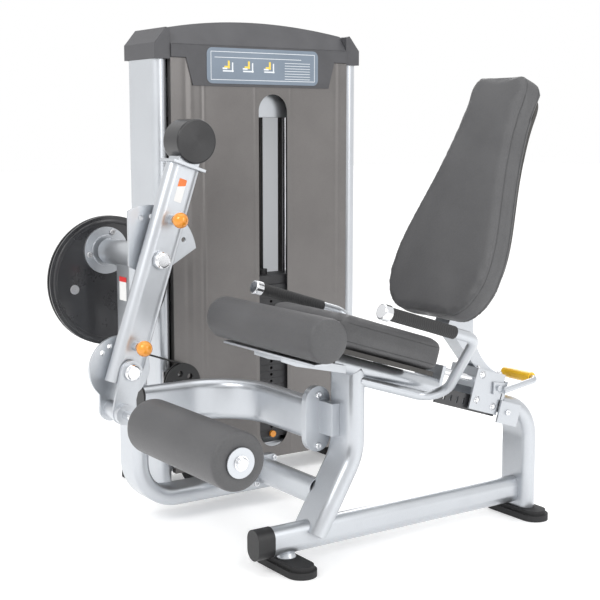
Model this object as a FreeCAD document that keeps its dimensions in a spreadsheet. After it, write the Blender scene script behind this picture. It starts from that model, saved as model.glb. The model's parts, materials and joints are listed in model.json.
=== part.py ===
import FreeCAD, Part
import math
import os
from FreeCAD import Placement, Rotation, Vector

# Selectorised leg extension machine, in millimetres.  +Z is up, the user sits facing -Y and the
# weight tower stands on the user's right, at -X.  X = 0 is the middle of the seat and Y = 0 the
# middle of the front foot while the pieces are drawn; the last step moves the origin to the
# middle of the footprint.

doc = FreeCAD.newDocument("leg_extension_machine")
sheet = doc.addObject("Spreadsheet::Sheet", "Sizes")

SIZES = [
    ("oval_wide", 120, "flat-oval frame tube, wide side"),
    ("oval_thin", 50, "flat-oval frame tube, thin side"),
    ("tube_wall", 3, "wall of every steel tube"),
    ("post_height", 1372, "top of the tower posts"),
    ("front_post_y", 69, "centre of the tower post beside the knees"),
    ("rear_post_y", 796, "centre of the tower post behind the seat"),
    ("post_wide", 190, "tower posts, wide side"),
    ("post_middle", -885, "centre of both tower posts"),
    ("post_x", -850, "centre of the weight stack"),
    ("tower_foot_x", -955, "centre of the tower's foot pads"),
    ("foot_height", 30, "rubber foot pads"),
    ("foot_long", 224, "rubber foot pads, along X"),
    ("foot_wide", 84, "rubber foot pads, along Y"),
    ("base_tall", 80, "base tube, height"),
    ("base_wide", 54, "base tube, width"),
    ("base_middle", 80, "base tube, height of its centre line"),
    ("front_upright_y", 200, "front upright, centre"),
    ("rear_upright_y", 846, "rear upright, centre"),
    ("knee_y", -160, "knee axis"),
    ("knee_z", 799, "knee axis"),
    ("shaft_radius", 15, "knee shaft"),
    ("housing_radius", 38, "bearing housing"),
    ("lever_tilt", 18.7, "lean of the lever, degrees"),
    ("lever_wide", 100, "lever tube, wide side"),
    ("lever_up", 268, "lever tube above the knee axis"),
    ("lever_down", 358, "lever tube below the knee axis"),
    ("lever_x", -406, "middle of the lever tube"),
    ("cam_radius", 194, "cam plates"),
    ("cam_drop", 92, "cam plates, centre below the knee axis"),
    ("cam_plate", 6, "thickness of a cam plate"),
    ("cam_groove", 10, "space between the cam plates"),
    ("cam_track", 169, "drum between the cam plates"),
    ("cam_x", -742, "middle of the cam groove"),
    ("flange_radius", 70, "hub flange"),
    ("pin_circle", 117, "start holes, distance from the knee axis"),
    ("start_radius", 149, "start plate"),
    ("weight_radius", 62, "counterweight"),
    ("weight_long", 84, "counterweight"),
    ("pivot_down", 318, "shin link pivot below the knee axis"),
    ("link_circle", 72, "shin link holes, distance from the link pivot"),
    ("link_radius", 92, "shin link disc"),
    ("shin_y", -292, "shin roller axis"),
    ("shin_z", 387, "shin roller axis"),
    ("shin_radius", 76, "shin roller foam"),
    ("shin_long", 450, "shin roller foam"),
    ("thigh_radius", 60, "thigh roller foam"),
    ("thigh_long", 505, "thigh roller foam"),
    ("seat_tilt", 17.5, "fall of the seat towards the rear, degrees"),
    ("seat_front_y", 39, "front lower edge of the seat pad"),
    ("seat_front_z", 618, "front lower edge of the seat pad"),
    ("seat_long", 354, "seat pad, front to rear"),
    ("seat_wide", 352, "seat pad"),
    ("seat_thick", 84, "seat pad"),
    ("board_thick", 12, "boards under the pads"),
    ("back_tilt", 23.5, "recline of the back pad, degrees"),
    ("back_thick", 74, "back pad"),
    ("handle_x", 290, "grips, distance from the middle"),
    ("grip_radius", 17, "grips"),
    ("handle_radius", 14, "handle tube"),
    ("rod_radius", 10, "carriage rods"),
    ("rod_x", 38, "carriage rods, distance from the middle"),
    ("guide_radius", 11, "weight stack guide rods"),
    ("plate_thick", 22, "weight plate"),
    ("plate_gap", 0.6, "space between weight plates"),
    ("plates", 23, "weight plates"),
    ("cable_radius", 3, "steel cable in its black jacket"),
    ("pulley_radius", 56, "cable pulleys"),
    ("fit", 0.05, "radial clearance of running fits"),
    ("origin_x", -377.4, "middle of the footprint"),
    ("origin_y", 256.9, "middle of the footprint"),
]
for row, (alias, value, note) in enumerate(SIZES, start=1):
    sheet.set("A%d" % row, alias)
    sheet.set("B%d" % row, str(value))
    sheet.set("C%d" % row, note)
    sheet.setAlias("B%d" % row, alias)
doc.recompute()
D = {alias: float(sheet.get(alias)) for alias, value, note in SIZES}
parts = []

X, Y, Z = Vector(1, 0, 0), Vector(0, 1, 0), Vector(0, 0, 1)


# ---- helpers -------------------------------------------------------------------------------

def keep(obj, label):
    """Names a finished piece and puts it on the list of pieces to write."""
    obj.Label = label
    parts.append(obj)
    return obj


def bind(obj, prop, value):
    """Sets a property from a number, or from an expression over the sheet."""
    if isinstance(value, str):
        obj.setExpression(prop, value)
    else:
        setattr(obj, prop, value)


def towards(direction):
    """The rotation that takes +Z to a direction."""
    return Rotation(Z, Vector(*direction))


def box(size, low, rotation=None):
    obj = doc.addObject("Part::Box", "Block")
    for prop, value in zip(("Length", "Width", "Height"), size):
        bind(obj, prop, value)
    obj.Placement = Placement(Vector(*low), rotation or Rotation())
    return obj


def cylinder(radius, height, start, direction=(0, 0, 1)):
    """A cylinder from the middle of one end face, along a direction."""
    obj = doc.addObject("Part::Cylinder", "Round")
    bind(obj, "Radius", radius)
    bind(obj, "Height", height)
    obj.Placement = Placement(Vector(*start), towards(direction))
    return obj


def fuse(*objs):
    obj = doc.addObject("Part::MultiFuse", "Joined")
    obj.Shapes = list(objs)
    obj.Refine = True
    return obj


def group(*objs):
    """Several separate solids in one piece file."""
    obj = doc.addObject("Part::Compound", "Set")
    obj.Links = list(objs)
    return obj


def cut(base, *tools):
    obj = doc.addObject("Part::Cut", "Trimmed")
    obj.Base = base
    obj.Tool = tools[0] if len(tools) == 1 else fuse(*tools)
    obj.Refine = True
    return obj


def rounded(base, radius, pick):
    """Fillets the edges of a piece that pick(edge) chooses."""
    doc.recompute()
    obj = doc.addObject("Part::Fillet", "Rounded")
    obj.Base = base
    chosen = [i + 1 for i, edge in enumerate(base.Shape.Edges) if pick(edge)]
    obj.Edges = [(i, radius, radius) for i in chosen]
    return obj


def along(direction):
    """Edge test: straight edges parallel to a direction."""
    way = Vector(*direction)
    def test(edge):
        if edge.Curve.TypeId != "Part::GeomLine":
            return False
        return abs(edge.tangentAt(edge.FirstParameter).dot(way)) > 0.999
    return test


def plane_of(body, role):
    return [f for f in body.Origin.OriginFeatures if f.Role == role][0]


def sketch_on(body, role, offset=None):
    sketch = body.newObject("Sketcher::SketchObject", "Outline")
    sketch.AttachmentSupport = [(plane_of(body, role), "")]
    sketch.MapMode = "FlatFace"
    if offset:
        sketch.AttachmentOffset = offset
    return sketch


def draw_oval(sketch, wide, thin, centre=(0, 0)):
    """Two straight sides and two half rounds, its size bound to expressions.  The wide way runs
    along the sketch's first axis."""
    import Sketcher
    a = 20.0
    r = 10.0
    u, v = centre
    n = sketch.GeometryCount
    sketch.addGeometry([
        Part.LineSegment(Vector(u - a, v + r, 0), Vector(u + a, v + r, 0)),
        Part.ArcOfCircle(Part.Circle(Vector(u + a, v, 0), Z, r), -math.pi / 2, math.pi / 2),
        Part.LineSegment(Vector(u + a, v - r, 0), Vector(u - a, v - r, 0)),
        Part.ArcOfCircle(Part.Circle(Vector(u - a, v, 0), Z, r), math.pi / 2, 3 * math.pi / 2),
    ], False)
    c = Sketcher.Constraint
    sketch.addConstraint([
        c("Tangent", n, 2, n + 1, 2), c("Tangent", n + 1, 1, n + 2, 1),
        c("Tangent", n + 2, 2, n + 3, 2), c("Tangent", n + 3, 1, n, 1),
        c("Horizontal", n), c("Equal", n + 1, n + 3),
    ])
    radius = sketch.addConstraint(c("Radius", n + 1, r))
    length = sketch.addConstraint(c("DistanceX", n + 3, 3, n + 1, 3, 2 * a))
    side = sketch.addConstraint(c("DistanceX", -1, 1, n + 1, 3, u + a))
    level = sketch.addConstraint(c("DistanceY", -1, 1, n + 1, 3, v))
    sketch.setExpression("Constraints[%d]" % radius, "(%s) / 2" % thin)
    sketch.setExpression("Constraints[%d]" % length, "(%s) - (%s)" % (wide, thin))
    sketch.setExpression("Constraints[%d]" % side, "((%s) - (%s)) / 2 + %.4f" % (wide, thin, u))
    if v:
        sketch.setDatum(level, FreeCAD.Units.Quantity("%.6f mm" % v))


def oval_bar(label, wide, thin, length, placement, wall="Sizes.tube_wall"):
    """A straight flat-oval tube from the placement's origin along its Z, wide along its X.
    No wall makes it solid."""
    body = doc.addObject("PartDesign::Body", "Tube")
    sketch = sketch_on(body, "XY_Plane")
    draw_oval(sketch, wide, thin)
    if wall:
        draw_oval(sketch, "(%s) - 2 * %s" % (wide, wall), "(%s) - 2 * %s" % (thin, wall))
    pad = body.newObject("PartDesign::Pad", "Length")
    pad.Profile = sketch
    bind(pad, "Length", length)
    body.Placement = placement
    return keep(body, label) if label else body


def corner_points(points, radii):
    """The straight runs and tangent arcs of a path that rounds its corners."""
    edges = []
    last = Vector(*points[0])
    for i in range(1, len(points) - 1):
        before, corner, after = (Vector(*p) for p in points[i - 1:i + 2])
        one = (before - corner).normalize()
        two = (after - corner).normalize()
        half = one.getAngle(two) / 2
        reach = radii[i - 1] / math.tan(half)
        first, second = corner + one * reach, corner + two * reach
        middle_way = (one + two).normalize()
        centre = corner + middle_way * (radii[i - 1] / math.sin(half))
        middle = centre - middle_way * radii[i - 1]
        if (first - last).Length > 1e-6:
            edges.append(Part.LineSegment(last, first))
        edges.append(Part.Arc(first, middle, second))
        last = second
    edges.append(Part.LineSegment(last, Vector(*points[-1])))
    return edges


def path_wire(points, radii):
    return Part.Wire([e.toShape() for e in corner_points(points, radii)])


def bent_oval(label, points, radii, plane, start, wall="Sizes.tube_wall", spine_offset=None):
    """A flat-oval tube along a flat bent path.  plane is the path's origin plane, start the
    placement of the section's sketch on the XY plane.  No wall makes it solid."""
    wide, thin = "Sizes.oval_wide", "Sizes.oval_thin"
    body = doc.addObject("PartDesign::Body", "BentTube")
    spine = sketch_on(body, plane, spine_offset)
    for edge in corner_points([(u, v, 0) for u, v in points], radii):
        spine.addGeometry(edge, False)
    section = sketch_on(body, "XY_Plane", start)
    draw_oval(section, wide, thin)
    if wall:
        draw_oval(section, "(%s) - 2 * %s" % (wide, wall), "(%s) - 2 * %s" % (thin, wall))
    doc.recompute()
    pipe = body.newObject("PartDesign::AdditivePipe", "Bend")
    pipe.Profile = section
    pipe.Spine = (spine, ["Edge%d" % (i + 1) for i in range(len(spine.Shape.Edges))])
    return keep(body, label) if label else body


def round_sweep(radius, points, radii):
    """A round bar along straight runs and arcs in space."""
    wire = path_wire(points, radii)
    way = Vector(*points[1]) - Vector(*points[0])
    disc = Part.Wire(Part.Circle(Vector(*points[0]), way, radius).toShape())
    shape = wire.makePipeShell([disc], True, False)
    length = wire.Length
    print("sweep r %.1f length %.1f volume ratio %.4f" % (
        radius, length, shape.Volume / (math.pi * radius ** 2 * length)))
    return shape


def shape_piece(label, shape):
    obj = doc.addObject("Part::Feature", "Formed")
    obj.Shape = shape
    return keep(obj, label)


def outline_plate(points, thickness, low_x, bulges=None):
    """A flat plate in the YZ plane from corners (y, z), its thickness along +X.  bulges maps the
    number of a side to the middle point of an arc that replaces it."""
    bulges = bulges or {}
    edges = []
    for i, (y, z) in enumerate(points):
        a = Vector(low_x, y, z)
        y2, z2 = points[(i + 1) % len(points)]
        b = Vector(low_x, y2, z2)
        if i in bulges:
            m = Vector(low_x, *bulges[i])
            edges.append(Part.Arc(a, m, b).toShape())
        else:
            edges.append(Part.LineSegment(a, b).toShape())
    return Part.Face(Part.Wire(edges)).extrude(Vector(thickness, 0, 0))


def bolt_shape(head_radius, head, shank_radius, shank, at, way):
    """Round head with a hexagon socket, sitting at a point and facing a way, shank behind it."""
    place, way = Vector(*at), Vector(*way)
    head_solid = Part.makeCylinder(head_radius, head, place, way)
    top = [e for e in head_solid.Edges if e.CenterOfMass.distanceToPoint(place) > head * 0.9
           and e.Curve.TypeId == "Part::GeomCircle"]
    head_solid = head_solid.makeFillet(min(head, head_radius) * 0.45, top[:1])
    solid = head_solid
    if shank:
        solid = head_solid.fuse(Part.makeCylinder(shank_radius, shank, place, way * -1))
    socket = Part.makeCylinder(head_radius * 0.42, head * 0.6, place + way * head * 0.55, way)
    return solid.cut(socket).removeSplitter()


stack_y = 472.5
top_z = 1290
drop_y = 100 + D["pulley_radius"]
top_pulleys_y = (drop_y + D["pulley_radius"], stack_y - D["pulley_radius"])
# ---- places that follow from the sizes ---------------------------------------------------------

tilt = math.radians(D["seat_tilt"])
seat_turn = Rotation(X, -D["seat_tilt"])
seat_zero = Vector(0, D["seat_front_y"], D["seat_front_z"])


def seat_at(x, back, up):
    """A point given by its distance behind the seat's front lower edge and above its underside."""
    return seat_zero + seat_turn.multVec(Vector(x, back, up))


lean = math.radians(D["lever_tilt"])
lever_turn = Rotation(X, -D["lever_tilt"])
knee = Vector(0, D["knee_y"], D["knee_z"])


def lever_at(x, across, up):
    """A point given along and across the leaning lever, from the knee axis."""
    return knee + lever_turn.multVec(Vector(x, across, up))


release_pivot = seat_at(0, 690, 4)
link_pivot = lever_at(0, 0, -D["pivot_down"])
shin_axis = Vector(0, D["shin_y"], D["shin_z"])


# ---- tower -------------------------------------------------------------------------------------

def tower_posts():
    posts = []
    for y in (D["front_post_y"], D["rear_post_y"]):
        place = Placement(Vector(D["post_middle"], y, D["foot_height"] + 0.1), Rotation())
        posts.append(oval_bar(None, "Sizes.post_wide", "Sizes.oval_thin",
                              "Sizes.post_height - Sizes.foot_height - 0.1", place))
    return posts


def post_caps():
    """Moulded end caps that sit on the posts, chamfered towards the tower's middle."""
    top = D["post_height"]
    caps = []
    for y, side in ((D["front_post_y"], 1), (D["rear_post_y"], -1)):
        low, high = y - 27, y + 27
        near, far = (low, high) if side > 0 else (high, low)
        profile = [(near, top + 0.2), (far, top + 0.2), (far, top + 92), (far - side * 14, top + 96),
                   (near + side * 12, top + 62), (near, top + 48)]
        caps.append(outline_plate(profile, D["post_wide"] + 16,
                                  D["post_middle"] - D["post_wide"] / 2 - 8))
    shape_piece("tower_post_caps", Part.makeCompound(caps))


def top_cover():
    """The arched moulded head of the tower, with a bevelled front that leans back."""
    low_y, high_y = D["front_post_y"] + 28, D["rear_post_y"] - 28
    middle = (low_y + high_y) / 2
    top = D["post_height"] + 96
    bottom = 1292
    front = D["post_x"] + 73
    face = outline_plate([(low_y, top), (low_y, bottom + 86), (low_y + 52, bottom + 86),
                          (low_y + 76, bottom), (high_y - 76, bottom), (high_y - 52, bottom + 86),
                          (high_y, bottom + 86), (high_y, top)], -216, front,
                         {7: (middle, top + 32)})
    hollow = Part.makeBox(208, high_y - low_y - 8, 1000, Vector(front - 212, low_y + 4, top - 1008))
    lean_back = Part.makeBox(120, 900, 260, Vector(0, low_y - 60, 0))
    lean_back.Placement = Placement(Vector(front - 2, 0, top - 52), Rotation(Y, -38))
    inner_lean = lean_back.copy()
    inner_lean.translate(Vector(-6, 0, 0))
    shape_piece("top_cover", face.cut(lean_back).cut(hollow.cut(inner_lean)))


def shrouds():
    """Sheet covers in front of and behind the weight stack, with returned edges."""
    low_y, high_y = D["front_post_y"] + 27, D["rear_post_y"] - 27
    long = high_y - low_y
    outer = box((23, long, 1319), (-804, low_y, 58))
    inner = box((20.1, long - 6, 1330), (-804.1, low_y + 3, 55))
    window = [box((40, 111, 1064), (-820, 417, 150)),
              cylinder(55.5, 40, (-820, stack_y, 150), (1, 0, 0)),
              cylinder(55.5, 40, (-820, stack_y, 1214), (1, 0, 0))]
    notches = [box((60, 56, 110), (-830, 130, 50)), box((60, 82, 45), (-830, 249, 50))]
    axle_hole = cylinder(8.1, 20, (D["cam_x"] / 2 + D["post_x"] / 2, 85, 80), (0, 1, 0))
    keep(cut(outer, inner, *window, *notches, axle_hole), "front_shroud")
    back = box((22.9, long, 1319), (-988.9, low_y, 58))
    hollow = box((20.1, long - 6, 1330), (-985.9, low_y + 3, 55))
    keep(cut(back, hollow), "rear_shroud")


def tower_frame(posts):
    low_y, high_y = D["front_post_y"] + 25.1, D["rear_post_y"] - 25.1
    long = high_y - low_y
    beam = box((40, long, 60), (-912, low_y, 40))
    hollow = box((34, long + 2, 54), (-909, low_y - 1, 43))
    floor = box((112, 345, 6), (-912, 300, 100.1))
    axle_holes = [cylinder(8, 90, (-895, y, top_z), (1, 0, 0)) for y in top_pulleys_y]
    bars = [cut(box((8, long, 120), (x, low_y, 1196)), *axle_holes) for x in (-884, -824)]
    clamp = cut(box((51.8, 250, 16), (-875.9, 347, 1200.1)), cylinder(10, 30, (-850, stack_y, 1190)))
    keep(group(*posts, cut(beam, hollow), floor, *bars, clamp), "tower_frame")
    rods = [cylinder("Sizes.guide_radius", 1093.8, (-850, stack_y + side * 95, 106.2))
            for side in (-1, 1)]
    keep(group(*rods), "guide_rods")
    rings = []
    for rod in (-1, 1):
        ring = cylinder(24, 18, (-850, stack_y + rod * 95, 106.2))
        rings.append(cut(ring, cylinder(11.3, 30, (-850, stack_y + rod * 95, 100))))
    return rings


def weight_plate(low_z, height):
    """One steel plate with its two guide holes and the hole for the selector rod."""
    plate = Part.makeBox(108, 290, height, Vector(-904, stack_y - 145, low_z))
    plate = plate.makeFillet(6, [e for e in plate.Edges if abs(e.tangentAt(0).z) > 0.9])
    for y in (stack_y - 95, stack_y, stack_y + 95):
        radius = 12.5 if y != stack_y else 11
        plate = plate.cut(Part.makeCylinder(radius, height + 2, Vector(-850, y, low_z - 1)))
    slot = Part.makeCylinder(5.05, 60, Vector(-850, stack_y, low_z + height / 2), X)
    return plate.cut(slot)


def weight_stack():
    """Every plate hangs on the selector rod, with the pin in the lowest one."""
    thick = D["plate_thick"]
    pitch = thick + D["plate_gap"]
    count = int(D["plates"])
    first = 124.4
    lifted = [weight_plate(first + i * pitch, thick) for i in range(count)]
    shape_piece("lifted_plates", Part.makeCompound(lifted))
    top = first + count * pitch
    head = Part.makeBox(100, 250, 30, Vector(-900, stack_y - 125, top))
    for side in (-1, 1):
        at = Vector(-850, stack_y + side * 95, top - 5)
        head = head.cut(Part.makeCylinder(D["guide_radius"] + D["fit"], 40, at))
    rod = Part.makeCylinder(10, top + 34 - 127, Vector(-850, stack_y, 127))
    rod = rod.fuse(Part.makeCylinder(16, 18, Vector(-850, stack_y, top + 30)))
    rod = head.fuse(rod).removeSplitter()
    for i in range(count):
        middle = Vector(-870, stack_y, first + i * pitch + thick / 2)
        rod = rod.cut(Part.makeCylinder(5.05, 40, middle, X))
    shape_piece("head_plate", rod)
    pin_z = first + thick / 2
    pin = Part.makeCylinder(5, 67.5, Vector(-859.5, stack_y, pin_z), X)
    pin = pin.fuse(Part.makeCylinder(11, 9, Vector(-794, stack_y, pin_z), X))
    shape_piece("selector_pin", pin)
    return top


# ---- pulleys and cable -------------------------------------------------------------------------

def pulley(label, centre, axis, radius):
    """A moulded wheel with a round-bottomed groove, lightening holes and a hub."""
    way = Vector(*axis)
    rim = radius + 6
    start = Vector(*centre) - way * 8
    wheel = Part.makeCylinder(rim, 16, start, way)
    groove = Part.makeTorus(radius + 1.4, 4.8, Vector(*centre), way)
    mouth = Part.makeCylinder(rim + 2, 7, Vector(*centre) - way * 3.5, way)
    mouth = mouth.cut(Part.makeCylinder(radius + 1.4, 9, Vector(*centre) - way * 4.5, way))
    wheel = wheel.cut(groove).cut(mouth)
    wheel = wheel.cut(Part.makeCylinder(8 + D["fit"], 40, Vector(*centre) - way * 20, way))
    across = way.cross(Z) if abs(way.z) < 0.9 else X
    for i in range(5):
        arm = Rotation(way, 72 * i).multVec(across) * (radius * 0.55)
        wheel = wheel.cut(Part.makeCylinder(radius * 0.17, 40, Vector(*centre) + arm - way * 20, way))
    shape_piece(label, wheel)


cam_middle = Vector(D["cam_x"], D["knee_y"] + 15, D["knee_z"] - D["cam_drop"])
cable_on_cam = D["cam_radius"] - 10
idler = Vector(D["cam_x"], drop_y - D["pulley_radius"], 364)


def crossing_tangent():
    """Where the cable leaves the underside of the cam on its way over the idler pulley."""
    d = idler - cam_middle
    d.x = 0
    turn = math.asin((cable_on_cam + D["pulley_radius"]) / d.Length)
    slope = math.atan2(d.z, d.y) + turn
    normal = Vector(0, math.cos(slope - math.pi / 2), math.sin(slope - math.pi / 2))
    return cam_middle + normal * cable_on_cam, slope


def cables():
    leave, slope = crossing_tangent()
    corner = leave + Vector(0, drop_y - leave.y, (drop_y - leave.y) * math.tan(slope))
    r = D["pulley_radius"]
    half = (D["cam_x"] - D["post_x"]) / 2
    points = [tuple(leave), tuple(corner), (D["cam_x"], drop_y, 80 - half),
              (D["post_x"], drop_y, 80 - half), (D["post_x"], drop_y, top_z + r),
              (D["post_x"], stack_y, top_z + r), (D["post_x"], stack_y, top_z - 30)]
    shape_piece("cable_run", round_sweep(D["cable_radius"], points, [r, half, half, r, r]))
    return half


def cable_wrap():
    """The end of the cable where it lies in the cam's groove."""
    leave, slope = crossing_tangent()
    first = slope - math.pi / 2
    arc = []
    for angle in (first, first - 0.45, first - 0.9):
        arc.append(cam_middle + Vector(0, math.cos(angle), math.sin(angle)) * cable_on_cam)
    wire = Part.Wire([Part.Arc(*arc).toShape()])
    disc = Part.Wire(Part.Circle(arc[0], Vector(0, -math.cos(slope), -math.sin(slope)),
                                 D["cable_radius"]).toShape())
    return wire.makePipeShell([disc], True, False)


def pulleys(stack_top, half):
    start = (D["post_x"], stack_y, stack_top + 48.1)
    keep(cylinder("Sizes.cable_radius", top_z - 30.1 - start[2], start), "stack_cable")
    pulley("idler_pulley", idler, (1, 0, 0), D["pulley_radius"])
    pulley("floor_pulley", (D["cam_x"] - half, drop_y, 80), (0, 1, 0), half)
    for label, y in zip(("top_pulley_outer", "top_pulley_inner"), top_pulleys_y):
        pulley(label, (D["post_x"], y, top_z), (1, 0, 0), D["pulley_radius"])
    axles = [cylinder(8, 50, (-780.9, idler.y, idler.z), (1, 0, 0)),
             cylinder(8, 74, (D["cam_x"] - half, 94.2, 80), (0, 1, 0)),
             *[cylinder(8, 70, (-885, y, top_z), (1, 0, 0)) for y in top_pulleys_y]]
    ear = outline_plate([(52, 330), (84, 330), (118, 348), (118, 380), (84, 398), (52, 398)],
                        4.6, -780.9)
    ear = ear.cut(Part.makeCylinder(8, 40, Vector(-800, idler.y, idler.z), X))
    bracket = doc.addObject("Part::Feature", "Bracket")
    bracket.Shape = ear.fuse(Part.makeBox(9, 18, 48, Vector(-789.9, 60, 340)))
    keep(group(*axles, bracket), "pulley_mounts")


# ---- seat frame --------------------------------------------------------------------------------

def facing(wide_way, length_way):
    """The turn of a flat-oval tube: where its wide side and its length point."""
    wide, long = Vector(*wide_way), Vector(*length_way)
    return Rotation(wide, long.cross(wide), long, "ZXY")


def trimmed(label, piece, *tools):
    """A tube whose end is cut to fit round the tubes that it is welded to."""
    return keep(cut(piece, *tools), label)


def seat_frame():
    low = Placement(Vector(0, -52, D["base_middle"]), facing((0, 0, 1), (0, 1, 0)))
    y, rear = D["front_upright_y"], D["rear_upright_y"]
    base_long = rear - D["oval_thin"] / 2 + 52 - 0.1
    oval_bar("base_tube", "Sizes.base_tall", "Sizes.base_wide", base_long, low)
    cap = Placement(Vector(0, -104.1, D["base_middle"]), facing((0, 0, 1), (0, 1, 0)))
    oval_bar("base_end_cap", "Sizes.base_tall + 4", "Sizes.base_wide + 4", 52, cap, None)
    base_envelope = oval_bar(None, "Sizes.base_tall", "Sizes.base_wide", base_long, low, None)

    rail_start = seat_at(0, 92, -38.5)
    rail_place = Placement(rail_start, facing((1, 0, 0), seat_turn.multVec(Y)))
    oval_bar("seat_rail", "Sizes.oval_wide", "Sizes.oval_thin", 375, rail_place)
    rail_envelope = oval_bar(None, "Sizes.oval_wide", "Sizes.oval_thin", 375, rail_place, None)

    legs = [(y, 526), (y, 291), (y - 126, 82)]
    top = Placement(Vector(0, y, 526), Rotation())
    upright = bent_oval(None, legs, [150], "YZ_Plane", top)
    upright_envelope = bent_oval(None, legs, [150], "YZ_Plane", top, wall=None)
    trimmed("front_upright", upright, base_envelope, rail_envelope)

    end = seat_at(0, 728.2, -34)
    corner = (rear, end.z - (rear - end.y) * math.tan(tilt))
    bent_oval("rear_upright", [(rear, 30.2), corner, (end.y, end.z)], [112], "YZ_Plane",
              Placement(Vector(0, rear, 30.2), Rotation()))

    cross = oval_bar(None, 76, 50, 260,
                     Placement(Vector(-40, 128, 176), facing((0, 0, 1), (-1, 0, 0))))
    stub = oval_bar(None, 76, 50, 290,
                    Placement(Vector(-320.6, 128, 176), facing((0, 0, 1), (-1, 0, 0))))
    riser = box((60, 40, 60), (-595, 108, 95.1))
    stub_envelope = oval_bar(None, 76, 50, 290,
                             Placement(Vector(-320.6, 128, 176), facing((0, 0, 1), (-1, 0, 0))), None)
    tie = oval_bar(None, 76, 40, 245,
                   Placement(Vector(-626, 290, 70), facing((0, 1, 0), (-1, 0, 0))))
    keep(group(cut(cross, upright_envelope), stub, cut(riser, stub_envelope), tie), "cross_tubes")
    return upright_envelope, rail_envelope


def frame_flanges():
    """Bolted joints: the side beam to the front upright, and the lower cross tube in two."""
    plates = []
    for x in (-310, -320.3):
        plate = outline_plate([(88, 130), (168, 130), (168, 222), (88, 222)], 9.8, x)
        plates.append(plate.makeFillet(14, [e for e in plate.Edges
                                            if abs(e.tangentAt(e.FirstParameter).x) > 0.9]))
    beam_y, beam_z = 146, 370
    for x in (-82, -71.8):
        plate = outline_plate([(106, 322), (106, 424), (186, 424), (186, 322)], 10, x,
                              {1: (beam_y, 464), 3: (beam_y, 282)})
        plates.append(plate)
    plates.append(outline_plate([(150, 334), (174.9, 334), (174.9, 424), (150, 424)], 60, -61.7))
    shape_piece("frame_flanges", Part.makeCompound(plates))
    bolts = []
    for z in (beam_z + 70, beam_z - 72):
        bolts.append(bolt_shape(10, 8, 0, 0, (-61.7, beam_y, z), (1, 0, 0)))
        bolts.append(bolt_shape(10, 8, 0, 0, (-82.1, beam_y, z), (-1, 0, 0)))
    for y in (98, 158):
        for z in (141, 211):
            bolts.append(bolt_shape(8, 6, 0, 0, (-300.1, y, z), (1, 0, 0)))
            bolts.append(bolt_shape(8, 6, 0, 0, (-320.4, y, z), (-1, 0, 0)))
    bolts.append(bolt_shape(8, 6, 0, 0, tuple(seat_at(42.1, 490, -57)), (1, 0, 0)))
    bolts.append(bolt_shape(9, 6, 0, 0, tuple(seat_at(66.1, 744, -58)), (1, 0, 0)))
    shape_piece("frame_bolts", Part.makeCompound(bolts))


def lever_side_frame():
    """The bent side beam, its flanges, the column that bends into a floor runner, and ties."""
    beam_y, beam_z, beam_x = 146, 370, -479
    bend = 180
    points = [(-82.2, beam_y), (beam_x, beam_y), (beam_x, -176)]
    section = Placement(Vector(-82.2, beam_y, beam_z), facing((0, 0, 1), (-1, 0, 0)))
    bent_oval("side_beam", points, [bend], "XY_Plane", section,
              spine_offset=Placement(Vector(0, 0, beam_z), Rotation()))
    knee_y, col_x = D["knee_y"], -565
    low_z, run_end = 70, 330
    path = [(knee_y, D["knee_z"] - 20), (knee_y, low_z), (run_end, low_z)]
    column = bent_oval(None, path, [120], "YZ_Plane",
                       Placement(Vector(col_x, knee_y, D["knee_z"] - 20), Rotation()),
                       spine_offset=Placement(Vector(0, 0, col_x), Rotation()))
    seat = cylinder("Sizes.housing_radius", 300, (-720, knee_y, D["knee_z"]), (1, 0, 0))
    trimmed("lever_column", column, seat)


def knee_bearing():
    """The housing on the column with its two ball bearings."""
    y, z = D["knee_y"], D["knee_z"]
    tube = cylinder("Sizes.housing_radius", 240, (-702, y, z), (1, 0, 0))
    bore = cylinder("Sizes.housing_radius - 8", 242, (-703, y, z), (1, 0, 0))
    rings = []
    for x in (-700, -478):
        ring = cylinder("Sizes.housing_radius - 8.02", 15, (x, y, z), (1, 0, 0))
        hole = cylinder("Sizes.shaft_radius + Sizes.fit", 19, (x - 2, y, z), (1, 0, 0))
        rings.append(cut(ring, hole))
    keep(group(cut(tube, bore), *rings), "bearing_housing")


# ---- cam ---------------------------------------------------------------------------------------

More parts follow.
